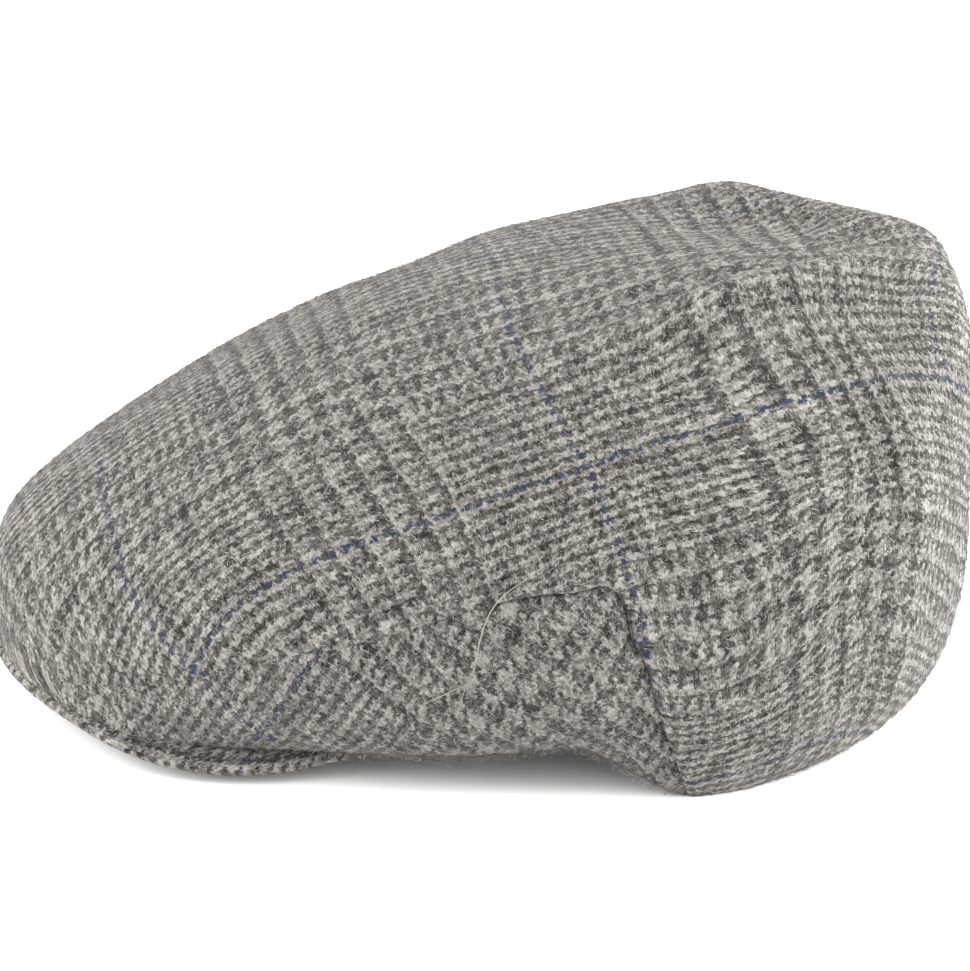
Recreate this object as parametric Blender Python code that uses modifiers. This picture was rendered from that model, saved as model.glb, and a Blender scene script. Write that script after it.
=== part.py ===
# Flat cap in checked wool tweed, resting on a table as it does by itself.
# Front is -Y, the wearer's left is +X, up is +Z, and the floor is z = 0.
# The origin is the middle of the cap's box, on the floor. Lengths are in metres.
#
# The cap is one hollow form with four pieces on it: a crown that runs from the
# peak over the top and down the back, a side panel on each temple, and a peak.
# form_point() gives the form, and each piece is a region of it.

import functools
import math

import bmesh
import bpy
import numpy as np

# driving sizes of the form
half_length = 0.1350
half_width = 0.0985
crown_height = 0.1280
# how far the form stands back from its own middle, so that the footprint is centred
set_back = 0.0020

# cloth, and the stiff peak covered in it
cloth_thickness = 0.0022
peak_thickness = 0.0034
peak_reveal = 0.0080
peak_drop = 0.0036

# the head's opening where the peak meets it: an arc of an oval
brow_reach = 0.0840
brow_half_width = 0.0750

# gaps between the pieces, and how far the floor presses the cloth flat
seam_gap = 0.0008
seat_gap = 0.0006
floor_press = 0.0010

# height of the side panel's seam where it is highest
panel_height = 0.0530

# the pair of soft ridges on the back half of the top, and the hump on the far one
ridge_height = 0.0060
ridge_softness = 0.0140
top_fall = 0.0080
hump_height = 0.0060
hump_softness = 0.0150

# The form round the cap, from the front (0 degrees) to the back (180).
# rim and belly: reach from the middle, as a share of the plain oval there
# rim_rise and belly_rise: height, as a share of crown_height
# squareness: 2 is a round dome, more is a fuller shoulder
ROUND_COLUMNS = ("angle", "rim", "rim_rise", "belly", "belly_rise", "squareness")
ROUND_ROWS = (
    (0, 0.976, 0.120, 0.988, 0.260, 2.45),
    (25, 0.989, 0.109, 1.003, 0.255, 2.18),
    (37, 0.956, 0.089, 0.986, 0.270, 2.30),
    (50, 0.821, 0.073, 0.975, 0.295, 2.30),
    (75, 0.797, 0.090, 0.970, 0.330, 2.40),
    (95, 0.769, 0.094, 0.985, 0.375, 2.75),
    (108, 0.812, 0.091, 0.996, 0.388, 2.78),
    (121, 0.893, 0.000, 1.013, 0.398, 2.80),
    (150, 0.825, 0.000, 1.082, 0.426, 3.70),
    (180, 0.827, 0.000, 0.950, 0.436, 6.40),
)

# Height of the top along the middle, front to back.
# place: share of half_length; rise: share of crown_height
CREST_COLUMNS = ("place", "rise")
CREST_ROWS = (
    (-1.00, 0.498),
    (-0.80, 0.613),
    (-0.55, 0.724),
    (-0.25, 0.835),
    (0.05, 0.915),
    (0.35, 0.970),
    (0.60, 0.980),
    (0.82, 1.009),
    (1.00, 1.120),
)

# The two ridges draw together towards the back.
# place: share of half_length; apart: share of half_width; strength: share of ridge_height
RIDGE_COLUMNS = ("place", "apart", "strength")
RIDGE_ROWS = (
    (-0.20, 0.60, 0.00),
    (0.10, 0.52, 0.20),
    (0.35, 0.44, 0.75),
    (0.58, 0.32, 1.00),
    (0.80, 0.17, 0.80),
    (1.00, 0.08, 0.20),
)
hump_place = 0.52
hump_side = -0.52

# The top of the side panels, a line that runs on round the cap under the crown's cloth.
# angle: degrees from the front; rise: height over the rim, as a share of panel_height
SEAM_COLUMNS = ("angle", "rise")
SEAM_ROWS = (
    (0, 0.12),
    (12, 0.10),
    (24, 0.11),
    (34, 0.24),
    (43, 0.39),
    (50, 0.53),
    (63, 0.66),
    (78, 0.81),
    (90, 0.94),
    (97, 0.966),
    (101.4, 0.970),
    (105.2, 0.985),
    (107.5, 0.93),
    (125, 0.85),
    (180, 0.85),
)
panel_start = 24

# The back edge of a side panel, which leans back as it comes down to the rim.
# level: 0 is the rim and 1 the panel's top; angle: degrees from the front
LEG_COLUMNS = ("level", "angle")
LEG_ROWS = (
    (0.00, 122.0),
    (0.31, 118.8),
    (0.56, 114.9),
    (0.75, 112.4),
    (0.95, 109.0),
    (1.00, 107.5),
)

# The peak's edge past the crown and the side panels.
# angle: degrees from the front; show and sink: shares of peak_reveal and peak_drop
PEAK_COLUMNS = ("angle", "show", "sink")
PEAK_ROWS = (
    (0, 0.26, 0.31),
    (18, 0.22, 0.30),
    (40, 0.78, 1.21),
    (49, 1.11, 0.90),
    (56, 0.60, 0.60),
    (61, 0.10, 0.00),
)

# mesh density: columns on one half of the cap, and levels from the rim to the seam
columns_front = 8
columns_panel = 22
columns_back = 16
low_levels = (0, 0.09, 0.30, 0.62, 1)
top_rows = 18
peak_columns = 46
peak_rows = 6
meridian_steps = 400


def column(rows, names, name):
    place = names.index(name)
    return np.array([row[place] for row in rows], float)


def spline(places, values, flat_ends):
    """A smooth curve through a table's rows, with level or free ends."""
    count = len(places)
    step = np.diff(places)
    slope = np.diff(values) / step
    matrix = np.eye(count)
    bend = np.zeros(count)
    for i in range(1, count - 1):
        matrix[i, i - 1 : i + 2] = (step[i - 1], 2 * (step[i - 1] + step[i]), step[i])
        bend[i] = 6 * (slope[i] - slope[i - 1])
    if flat_ends:
        matrix[0, :2] = (2 * step[0], step[0])
        bend[0] = 6 * slope[0]
        matrix[-1, -2:] = (step[-1], 2 * step[-1])
        bend[-1] = -6 * slope[-1]
    bend = np.linalg.solve(matrix, bend)

    def curve(x):
        x = min(max(x, places[0]), places[-1])
        i = min(int(np.searchsorted(places, x, side="right")) - 1, count - 2)
        a = (places[i + 1] - x) / step[i]
        b = 1 - a
        curved = (a**3 - a) * bend[i] + (b**3 - b) * bend[i + 1]
        return a * values[i] + b * values[i + 1] + curved * step[i] ** 2 / 6

    return curve


def table(rows, names, flat_ends=False):
    """One curve for each column of a table but the first, by name."""
    places = column(rows, names, names[0])
    return {name: spline(places, column(rows, names, name), flat_ends) for name in names[1:]}


around = table(ROUND_ROWS, ROUND_COLUMNS, flat_ends=True)
crest = table(CREST_ROWS, CREST_COLUMNS)
ridge = table(RIDGE_ROWS, RIDGE_COLUMNS)
seam = table(SEAM_ROWS, SEAM_COLUMNS, flat_ends=True)
leg = table(LEG_ROWS, LEG_COLUMNS)
peak_table = table(PEAK_ROWS, PEAK_COLUMNS)


def oval(angle):
    """Reach of the plain oval that the cap's plan follows, at an angle in degrees."""
    turn = math.radians(angle)
    return 1 / math.hypot(math.sin(turn) / half_width, math.cos(turn) / half_length)


def from_front(angle):
    """An angle measured from the front on either side, 0 to 180."""
    return abs((angle + 180) % 360 - 180)


def direction(angle):
    turn = math.radians(angle)
    return math.sin(turn), -math.cos(turn)


def rim_reach(angle):
    return around["rim"](from_front(angle)) * oval(angle)


def rim_height(angle):
    return max(around["rim_rise"](from_front(angle)), 0) * crown_height


def top_height(x, y):
    """Height that the top would have with no shoulder, with its ridges and hump."""
    place = y / half_length
    level = crest["rise"](place) * crown_height
    apart = ridge["apart"](place) * half_width
    strength = max(ridge["strength"](place), 0) * ridge_height
    level += strength * math.exp(-(((abs(x) - apart) / ridge_softness) ** 2))
    level -= top_fall * (x / half_width) ** 2
    away = math.hypot(x - hump_side * half_width, y - hump_place * half_length)
    return level + hump_height * math.exp(-((away / hump_softness) ** 2))


def form_point(angle, rise):
    """A point of the form's outside: rise 0 is the rim, 1 the belly and 2 the middle of the top."""
    side = from_front(angle)
    x_way, y_way = direction(angle)
    belly = around["belly"](side) * oval(angle)
    belly_height = around["belly_rise"](side) * crown_height
    if rise < 1:
        roll = rise * math.pi / 2
        rim = rim_reach(angle)
        reach = rim + (belly - rim) * math.sin(roll)
        height = belly_height - (belly_height - rim_height(angle)) * math.cos(roll)
        return x_way * reach, y_way * reach + set_back, max(height - floor_press * (1 - rise), 0)
    inward = math.cos((rise - 1) * math.pi / 2)
    x, y = x_way * belly * inward, y_way * belly * inward
    squareness = around["squareness"](side)
    dome = (1 - min(inward, 1) ** squareness) ** (1 / squareness)
    return x, y + set_back, belly_height + (top_height(x, y) - belly_height) * dome


@functools.lru_cache(maxsize=None)
def meridian(angle):
    """Rises up one side of the form, with their heights over the rim and lengths along the cloth."""
    rises = np.linspace(0, 2, meridian_steps)
    points = np.array([form_point(angle, rise) for rise in rises])
    steps = np.linalg.norm(np.diff(points, axis=0), axis=1)
    return rises, points[:, 2] - rim_height(angle), np.concatenate(([0], np.cumsum(steps)))


def rise_at_height(angle, height):
    """The rise whose point is this high over the rim, on the way up to the shoulder."""
    rises, heights, _ = meridian(angle)
    top = int(np.argmax(heights))
    return float(np.interp(height, heights[:top], rises[:top]))


def panel_top(angle):
    """Height of the side panel's seam over the rim."""
    return seam["rise"](from_front(angle)) * panel_height


def leaned(angle, level):
    """A column's angle at a level, drawn along by the leaning back edge of the side panel."""
    top, here = leg["angle"](1), leg["angle"](min(level, 1))
    if angle < panel_start:
        return angle
    if angle < top:
        return panel_start + (angle - panel_start) * (here - panel_start) / (top - panel_start)
    return 180 - (180 - angle) * (180 - here) / (180 - top)


def form_at(angle, level, side=1, lower=0.0):
    """A point at a column and level: 0 is the rim, 1 the seam's line and 2 the middle of the top."""
    seam_rise = rise_at_height(angle, panel_top(angle) - lower)
    if level < 1:
        return form_point(side * leaned(angle, level), seam_rise * level)
    rises, _, lengths = meridian(angle)
    start = np.interp(seam_rise, rises, lengths)
    length = start + (lengths[-1] - start) * (level - 1)
    return form_point(side * angle, float(np.interp(length, lengths, rises)))


def material(name, colour, roughness):
    finish = bpy.data.materials.new(name)
    finish.use_nodes = True
    shader = finish.node_tree.nodes["Principled BSDF"]
    shader.inputs["Base Color"].default_value = (*colour, 1)
    shader.inputs["Roughness"].default_value = roughness
    shader.inputs["Metallic"].default_value = 0
    return finish


def sheet(name, rows, closed=False, left_out=(), pole=None):
    """A cloth sheet through rows of points, without the cells in left_out."""
    shape = bmesh.new()
    lines = [[shape.verts.new(point) for point in row] for row in rows]
    count = len(rows[0])
    for level, (low, high) in enumerate(zip(lines, lines[1:])):
        for i in range(count if closed else count - 1):
            j = (i + 1) % count
            if (i, level) not in left_out:
                shape.faces.new((low[i], low[j], high[j], high[i]))
    if pole:
        tip = shape.verts.new(pole)
        for i in range(count):
            shape.faces.new((lines[-1][i], lines[-1][(i + 1) % count], tip))
    bare = [vert for vert in shape.verts if not vert.link_faces]
    bmesh.ops.delete(shape, geom=bare, context="VERTS")
    bmesh.ops.recalc_face_normals(shape, faces=shape.faces)
    mesh = bpy.data.meshes.new(name)
    shape.to_mesh(mesh)
    shape.free()
    mesh.shade_smooth()
    return bpy.data.objects.new(name, mesh)


def thicken(piece, thickness):
    wall = piece.modifiers.new("wall", "SOLIDIFY")
    wall.thickness = thickness
    wall.offset = -1
    wall.use_quality_normals = True


def crown():
    """The top and back, one piece of cloth from the peak over the top to the rim behind."""
    leg_top = leg["angle"](1)
    half = list(np.linspace(0, panel_start, columns_front + 1)[:-1])
    half += list(np.linspace(panel_start, leg_top, columns_panel + 1)[:-1])
    half += list(np.linspace(leg_top, 180, columns_back + 1))
    columns = [(angle, 1) for angle in half] + [(angle, -1) for angle in half[-2:0:-1]]
    levels = low_levels[:-1] + tuple(1 + i / top_rows for i in range(top_rows))
    rows = [[form_at(angle, level, side) for angle, side in columns] for level in levels]
    left_out = set()
    for i in range(columns_front, columns_front + columns_panel):
        for level in range(len(low_levels) - 1):
            left_out.add((i, level))
            left_out.add((len(columns) - 1 - i, level))
    piece = sheet("crown", rows, closed=True, left_out=left_out, pole=form_point(0, 2))
    thicken(piece, cloth_thickness)
    return piece


def side_panel(name, side):
    """A temple panel, from the rim and the peak up to the seam with the crown."""
    gap_turn = math.degrees(seam_gap / half_width)
    columns = np.linspace(panel_start + gap_turn, leg["angle"](1) - gap_turn, columns_panel + 1)
    rows = []
    for level in low_levels:
        rows.append([form_at(angle, level, side, lower=seam_gap) for angle in columns])
    piece = sheet(name, rows)
    thicken(piece, cloth_thickness)
    return piece


def brow(angle):
    turn = math.radians(angle)
    return 1 / math.hypot(math.sin(turn) / brow_half_width, math.cos(turn) / brow_reach)


def peak_point(angle, across):
    """The peak's upper side: across 0 is the brow and 1 the outer edge."""
    side = from_front(angle)
    x_way, y_way = direction(angle)
    seat = rim_reach(angle)
    show = peak_table["show"](side) * peak_reveal
    reach = brow(angle) + (seat + show - brow(angle)) * across
    past = max(reach - seat, 0) / show
    height = rim_height(angle) - floor_press - seat_gap
    height -= peak_table["sink"](side) * peak_drop * past**2
    return x_way * reach, y_way * reach + set_back, max(height, peak_thickness)


def peak():
    """The stiff peak, a crescent covered in the same cloth."""
    end = PEAK_ROWS[-1][0]
    angles = np.linspace(-end, end, peak_columns + 1)
    rows = []
    for i in range(peak_rows + 1):
        rows.append([peak_point(angle, i / peak_rows) for angle in angles])
    piece = sheet("peak", rows)
    thicken(piece, peak_thickness)
    return piece


for old in list(bpy.data.objects):
    bpy.data.objects.remove(old)

cap = bpy.data.collections.new("flat_cap")
bpy.context.scene.collection.children.link(cap)

tweed = (0.25, 0.24, 0.22)
shaded_tweed = (0.22, 0.21, 0.19)
finishes = (
    (crown(), tweed),
    (side_panel("side_panel_left", 1), shaded_tweed),
    (side_panel("side_panel_right", -1), shaded_tweed),
    (peak(), tweed),
)
for piece, colour in finishes:
    piece.data.materials.append(material(piece.name + "_cloth", colour, 0.9))
    cap.objects.link(piece)
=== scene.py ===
# A flat cap in checked wool tweed, lying on a pale table as it does by itself.
# Front is -Y, the wearer's left is +X, up is +Z and the table is z = 0. Lengths are in metres.
import math

import bmesh
import bpy
import numpy as np
from mathutils import Matrix, Vector, noise


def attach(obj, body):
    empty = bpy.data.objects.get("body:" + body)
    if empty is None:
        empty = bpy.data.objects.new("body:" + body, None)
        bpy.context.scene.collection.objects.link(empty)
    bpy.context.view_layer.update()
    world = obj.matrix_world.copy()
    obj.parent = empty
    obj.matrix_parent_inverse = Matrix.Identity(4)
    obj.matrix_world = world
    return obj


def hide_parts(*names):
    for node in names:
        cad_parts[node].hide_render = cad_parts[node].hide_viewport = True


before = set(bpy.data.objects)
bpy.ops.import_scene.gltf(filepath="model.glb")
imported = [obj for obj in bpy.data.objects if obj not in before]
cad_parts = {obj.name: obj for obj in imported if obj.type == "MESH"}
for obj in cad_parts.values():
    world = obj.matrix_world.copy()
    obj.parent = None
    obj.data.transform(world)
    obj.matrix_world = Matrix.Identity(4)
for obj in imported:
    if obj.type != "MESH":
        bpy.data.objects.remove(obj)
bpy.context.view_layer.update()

# Crown: one shaped piece of thick, brushed wool tweed that runs from the peak over the top
# and down the back to the rim. Its front corners are sewn to the temple panels, and a short
# seam closes it at the centre of the back. It stands by itself, with soft dents in the top.
half_length = 0.1350
half_width = 0.0985
crown_height = 0.1280
set_back = 0.0020
panel_height = 0.0530
cloth_thickness = 0.0022
floor_press = 0.0010
ridge_height = 0.0060
ridge_softness = 0.0140
top_fall = 0.0080
hump_height = 0.0060
hump_softness = 0.0150
hump_place = 0.52
hump_side = -0.52
panel_start = 24.0
panel_end = 107.5
meridian_steps = 500


def smooth_curve(places, values, level_ends):
    """A smooth curve through the values at the places, with free or level ends."""
    step = np.diff(places)
    slope = np.diff(values) / step
    count = len(places)
    matrix, bend = np.eye(count), np.zeros(count)
    for i in range(1, count - 1):
        matrix[i, i - 1 : i + 2] = (step[i - 1], 2 * (step[i - 1] + step[i]), step[i])
        bend[i] = 6 * (slope[i] - slope[i - 1])
    if level_ends:
        matrix[0, :2], matrix[-1, -2:] = (2 * step[0], step[0]), (step[-1], 2 * step[-1])
        bend[0], bend[-1] = 6 * slope[0], -6 * slope[-1]
    bend = np.linalg.solve(matrix, bend)

    def curve(place):
        place = np.clip(place, places[0], places[-1])
        i = np.clip(np.searchsorted(places, place, side="right") - 1, 0, count - 2)
        a = (places[i + 1] - place) / step[i]
        b = 1 - a
        curved = (a**3 - a) * bend[i] + (b**3 - b) * bend[i + 1]
        return a * values[i] + b * values[i + 1] + curved * step[i] ** 2 / 6

    return curve


def form_table(names, rows, level_ends=False):
    """One smooth curve for each column of a table but the first, by name."""
    columns = np.array(rows, float).T
    return {
        name: smooth_curve(columns[0], values, level_ends)
        for name, values in zip(names[1:], columns[1:])
    }


around = form_table(
    ("angle", "rim", "rim_rise", "belly", "belly_rise", "squareness"),
    (
        (0, 0.976, 0.120, 0.988, 0.260, 2.45),
        (25, 0.989, 0.109, 1.003, 0.255, 2.18),
        (37, 0.956, 0.089, 0.986, 0.270, 2.30),
        (50, 0.821, 0.073, 0.975, 0.295, 2.30),
        (75, 0.797, 0.090, 0.970, 0.330, 2.40),
        (95, 0.769, 0.094, 0.985, 0.375, 2.75),
        (108, 0.812, 0.091, 0.996, 0.388, 2.78),
        (121, 0.893, 0.000, 1.013, 0.398, 2.80),
        (150, 0.825, 0.000, 1.082, 0.426, 3.70),
        (180, 0.827, 0.000, 0.950, 0.436, 6.40),
    ),
    level_ends=True,
)
crest = form_table(
    ("place", "rise"),
    (
        (-1.00, 0.498),
        (-0.80, 0.613),
        (-0.55, 0.724),
        (-0.25, 0.835),
        (0.05, 0.915),
        (0.35, 0.970),
        (0.60, 0.980),
        (0.82, 1.009),
        (1.00, 1.120),
    ),
)
ridge = form_table(
    ("place", "apart", "strength"),
    (
        (-0.20, 0.60, 0.00),
        (0.10, 0.52, 0.20),
        (0.35, 0.44, 0.75),
        (0.58, 0.32, 1.00),
        (0.80, 0.17, 0.80),
        (1.00, 0.08, 0.20),
    ),
)
seam = form_table(
    ("angle", "rise"),
    (
        (0, 0.12),
        (12, 0.10),
        (24, 0.11),
        (34, 0.24),
        (43, 0.39),
        (50, 0.53),
        (63, 0.66),
        (78, 0.81),
        (90, 0.94),
        (97, 0.966),
        (101.4, 0.970),
        (105.2, 0.985),
        (107.5, 0.93),
        (125, 0.85),
        (180, 0.85),
    ),
    level_ends=True,
)
leg = form_table(
    ("level", "angle"),
    (
        (0.00, 122.0),
        (0.31, 118.8),
        (0.56, 114.9),
        (0.75, 112.4),
        (0.95, 109.0),
        (1.00, 107.5),
    ),
)


def oval(side):
    """How far a plain oval of the cap's size reaches at an angle from the front."""
    turn = np.radians(side)
    return 1 / np.hypot(np.sin(turn) / half_width, np.cos(turn) / half_length)


def rim_height(side):
    return np.maximum(around["rim_rise"](side), 0) * crown_height


def top_height(x, y):
    """Height that the top would have with no shoulder, with its ridges and hump."""
    place = y / half_length
    apart = ridge["apart"](place) * half_width
    strength = np.maximum(ridge["strength"](place), 0) * ridge_height
    level = crest["rise"](place) * crown_height - top_fall * (x / half_width) ** 2
    level = level + strength * np.exp(-(((np.abs(x) - apart) / ridge_softness) ** 2))
    away = np.hypot(x - hump_side * half_width, y - hump_place * half_length)
    return level + hump_height * np.exp(-((away / hump_softness) ** 2))


def form_point(angle, rise):
    """The form's outside at angles from the front: rise 0 is the rim, 1 the belly, 2 the top."""
    angle, rise = np.broadcast_arrays(np.asarray(angle, float), np.asarray(rise, float))
    side = np.abs(angle)
    x_way, y_way = np.sin(np.radians(angle)), -np.cos(np.radians(angle))
    belly = around["belly"](side) * oval(side)
    belly_height = around["belly_rise"](side) * crown_height
    rim = around["rim"](side) * oval(side)
    low = np.clip(rise, 0, 1)
    reach = rim + (belly - rim) * np.sin(low * math.pi / 2)
    height = belly_height - (belly_height - rim_height(side)) * np.cos(low * math.pi / 2)
    height = np.maximum(height - floor_press * (1 - low), 0)
    inward = belly * np.cos((np.clip(rise, 1, 2) - 1) * math.pi / 2)
    square = around["squareness"](side)
    dome = (1 - np.minimum(inward / belly, 1) ** square) ** (1 / square)
    top = top_height(x_way * inward, y_way * inward)
    upper = rise >= 1
    return np.stack(
        (
            x_way * np.where(upper, inward, reach),
            y_way * np.where(upper, inward, reach) + set_back,
            np.where(upper, belly_height + (top - belly_height) * dome, height),
        ),
        -1,
    )


def leaned(side, level):
    """A column's angle at a level, drawn along by the leaning back edge of the temple panel."""
    here = leg["angle"](np.minimum(level, 1))
    front = panel_start + (side - panel_start) * (here - panel_start) / (panel_end - panel_start)
    back = 180 - (180 - side) * (180 - here) / (180 - panel_end)
    return np.where(side < panel_start, side, np.where(side < panel_end, front, back))


def form_places(angles, levels):
    """Angle and rise by level and column: level 0 is the rim, 1 the temple seam, 2 the top."""
    rises = np.linspace(0, 2, meridian_steps)
    side = np.abs(angles)
    low = levels < 1
    turned = np.where(low[:, None], np.sign(angles) * leaned(side[None], levels[:, None]), angles)
    risen = np.zeros_like(turned)
    for k, angle in enumerate(angles):
        points = form_point(angle, rises)
        heights = points[:, 2] - rim_height(side[k])
        highest = int(np.argmax(heights))
        seam_height = seam["rise"](side[k]) * panel_height
        seam_rise = np.interp(seam_height, heights[:highest], rises[:highest])
        steps = np.linalg.norm(np.diff(points, axis=0), axis=1)
        lengths = np.concatenate(([0], np.cumsum(steps)))
        start = np.interp(seam_rise, rises, lengths)
        length = start + (lengths[-1] - start) * (levels[~low] - 1)
        risen[low, k] = seam_rise * levels[low]
        risen[~low, k] = np.interp(length, lengths, rises)
    return turned, risen


def form_grid(angles, levels):
    return form_point(*form_places(angles, levels))


def spread(start, stop, count, near):
    """Places from start to stop, packed closer by each place, width and gain in near."""
    fine = np.linspace(start, stop, 20001)
    crowd = 1 + sum(gain * np.exp(-(((fine - place) / width) ** 2)) for place, width, gain in near)
    total = np.concatenate(([0], np.cumsum((crowd[1:] + crowd[:-1]) / 2)))
    places = np.interp(np.linspace(0, total[-1], count), total, fine)
    for place, _, _ in near:
        places[np.argmin(np.abs(places - place))] = place
    return places


def both_sides(half):
    """The half's angles turned to the right side, then as they are on the left."""
    return np.concatenate((-half[:0:-1], half))


def outward(grid):
    """Unit normals of a grid of points by level and angle."""
    along, up = np.gradient(grid, axis=1), np.gradient(grid, axis=0)
    normals = np.cross(along, up)
    return normals / np.maximum(np.linalg.norm(normals, axis=-1, keepdims=True), 1e-12)


def nearest(points, line):
    """Distance from each point to a line of samples, and the nearest sample's place, 0 to 1."""
    closest = np.full(points.shape[:-1], np.inf)
    place = np.zeros(points.shape[:-1])
    for k, sample in enumerate(line):
        away = ((points - sample) ** 2).sum(-1)
        nearer = away < closest
        closest[nearer] = away[nearer]
        place[nearer] = k / (len(line) - 1)
    return np.sqrt(closest), place


def rounded_edge(away, radius):
    """How far a cloth edge rolls in, by the distance from it."""
    inside = np.clip(radius - away, 0, radius)
    return radius - np.sqrt(radius**2 - inside**2)


# Laying the cloth flat: springs along the grid keep the weave's true lengths, and a point
# keeps the share glide of its speed from step to step.
glide = 0.9


def spring_pairs(kept, joined_rows):
    """Pairs of neighbours in a grid, and the number of each kept point."""
    number = -np.ones(kept.shape, int)
    number[kept] = np.arange(kept.sum())
    for row in joined_rows:
        number[row, -1] = number[row, 0]
    whole = kept[:-1, :-1] & kept[1:, :-1] & kept[:-1, 1:] & kept[1:, 1:]
    rows, columns = np.nonzero(whole)
    a, b = number[rows, columns], number[rows, columns + 1]
    c, d = number[rows + 1, columns + 1], number[rows + 1, columns]
    sides_and_diagonals = ((a, b), (b, c), (c, d), (d, a), (a, c), (b, d))
    pairs = np.concatenate([np.stack(pair, 1) for pair in sides_and_diagonals])
    return number, np.unique(np.sort(pairs, 1), axis=0)


def relaxed(points, flat, pairs, pulls, steps):
    """Flat places whose springs have come to rest at the lengths between the points."""
    first, second = pairs.T
    true = np.linalg.norm(points[first] - points[second], axis=1)
    count = len(points)
    shared = np.maximum(np.bincount(first, minlength=count) + np.bincount(second, minlength=count), 1)
    speed = np.zeros_like(flat)
    for _ in range(steps):
        gap = flat[first] - flat[second]
        length = np.maximum(np.linalg.norm(gap, axis=1), 1e-9)
        push = (0.5 * (length - true) / length)[:, None] * gap
        move = np.stack(
            [
                np.bincount(second, push[:, k], count) - np.bincount(first, push[:, k], count)
                for k in (0, 1)
            ],
            1,
        )
        move /= shared[:, None]
        for numbers, weights, axis, place, strength in pulls:
            short = place - (flat[numbers, axis] * weights).sum(1)
            np.add.at(move[:, axis], numbers, weights * (short * strength)[:, None])
        speed = glide * speed + move
        flat = flat + speed
    return flat


def grid_sample(values, rows, columns, row_places, column_places):
    """Values of a grid read between its rows and columns."""
    at_row = np.clip(np.interp(row_places, rows, np.arange(len(rows))), 0, len(rows) - 1.00001)
    at_column = np.interp(column_places, columns, np.arange(len(columns)))
    at_column = np.clip(at_column, 0, len(columns) - 1.00001)
    r, c = at_row.astype(int), at_column.astype(int)
    fr, fc = (at_row - r)[..., None], (at_column - c)[..., None]
    low = values[r, c] * (1 - fc) + values[r, c + 1] * fc
    high = values[r + 1, c] * (1 - fc) + values[r + 1, c + 1] * fc
    return low * (1 - fr) + high * fr


# Where the check lies on the crown, which fixes how the cloth was stretched over the form.
# A navy line runs each way through the middle of every group of fine stripes, check_threads
# apart; the coarse stripes start 34 threads past it and end at 82. Each row gives 0 for a line
# along the cap or 1 for one across it, the threads from the navy lines' crossing, and points
# on the form in millimetres.
thread = 0.0009655
check_threads = 116
lengthwise_line = 0.0930
crosswise_line = 0.0035
check_marks = (
    (0, 0, ((79, -65, 55), (80, -51, 64), (83, -18, 79), (84, 15, 91),
            (76, 50, 101), (69, 73, 105), (60, 98, 109))),
    (0, -116, ((-21, 64, 125), (-23, 73, 127))),
    (0, -34, ((45, 45, 122), (34, 65, 128))),
    (0, 34, ((93, 35, 73), (91, 44, 75), (88, 61, 78), (86, 70, 80), (79, 94, 86), (73, 107, 85))),
    (0, 82, ((92, 46, 29), (89, 63, 29), (88, 74, 36), (82, 96, 45), (79, 102, 46))),
    (0, 116, ((85, 51, 6), (83, 66, 8), (80, 82, 13))),
    (1, -116, ((20, -102, 65), (52, -98, 55), (69, -90, 44), (75, -82, 36), (78, -75, 31))),
    (1, 0, ((55, 9, 110), (77, 18, 99), (88, 26, 87), (94, 32, 72),
            (95, 36, 59), (94, 39, 45), (93, 41, 33))),
    (1, 34, ((57, 48, 115), (74, 54, 102), (81, 62, 93), (86, 68, 82),
             (88, 74, 64), (88, 75, 43), (84, 76, 16))),
    (1, 82, ((44, 96, 119), (58, 103, 109), (68, 111, 93), (71, 113, 82))),
    (1, 116, ((25, 118, 123), (47, 117, 113))),
)
mark_reach = 0.030
mark_slack = 0.02
millimetres = 1000


def mark_weights(points, mark):
    """The four points nearest to a mark, and weights that place the mark between them."""
    near = np.argsort(((points - mark) ** 2).sum(1))[:4]
    whole = 10.0
    system = np.concatenate((points[near].T, np.full((1, 4), whole)))
    weights, *_ = np.linalg.lstsq(system, np.append(mark, whole), rcond=1e-4)
    return near, weights


def check_pulls(points, strength):
    """Each row of marks as points of the grid, their weights and the flat place they keep."""
    pulls = []
    for axis, threads_away, marks in check_marks:
        found = [mark_weights(points, np.array(mark) / millimetres) for mark in marks]
        numbers, weights = (np.array(part) for part in zip(*found))
        place = (lengthwise_line, crosswise_line)[axis] + threads_away * thread
        pulls.append((numbers, weights, axis, place, strength))
    return pulls


def eased_to_marks(flat, pulls):
    """The flat places moved smoothly until every pull is met."""
    for axis in (0, 1):
        marks, short = [], []
        for numbers, weights, along, place, _ in pulls:
            if along == axis:
                marks.append((flat[numbers] * weights[..., None]).sum(1))
                short.append(place - marks[-1][:, axis])
        marks, short = np.concatenate(marks), np.concatenate(short)

        def near(places):
            away = ((places[:, None] - marks[None]) ** 2).sum(-1)
            return np.exp(-away / (2 * mark_reach**2))

        gains = np.linalg.solve(near(marks) + mark_slack * np.eye(len(marks)), short)
        moved = flat[:, axis] + near(flat) @ gains
        flat = np.stack((moved, flat[:, 1]) if axis == 0 else (flat[:, 0], moved), 1)
    return flat


def in_crown(levels, angles):
    """Which points of a grid are on the crown, not under a temple panel's place."""
    side = np.abs(angles)
    under_panel = (side > panel_start + 1e-6) & (side < panel_end - 1e-6)
    return ~((levels[:, None] < 1 - 1e-9) & under_panel[None])


def smoothed(flat, pairs, rounds):
    """Flat places drawn towards the mean of their neighbours, so that no strip folds over."""
    first, second = pairs.T
    shared = np.bincount(first, minlength=len(flat)) + np.bincount(second, minlength=len(flat))
    for _ in range(rounds):
        near_first = [np.bincount(first, flat[second, k], len(flat)) for k in (0, 1)]
        near_second = [np.bincount(second, flat[first, k], len(flat)) for k in (0, 1)]
        mean = np.stack(near_first, 1) + np.stack(near_second, 1)
        flat = 0.5 * flat + 0.5 * mean / np.maximum(shared, 1)[:, None]
    return flat


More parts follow.
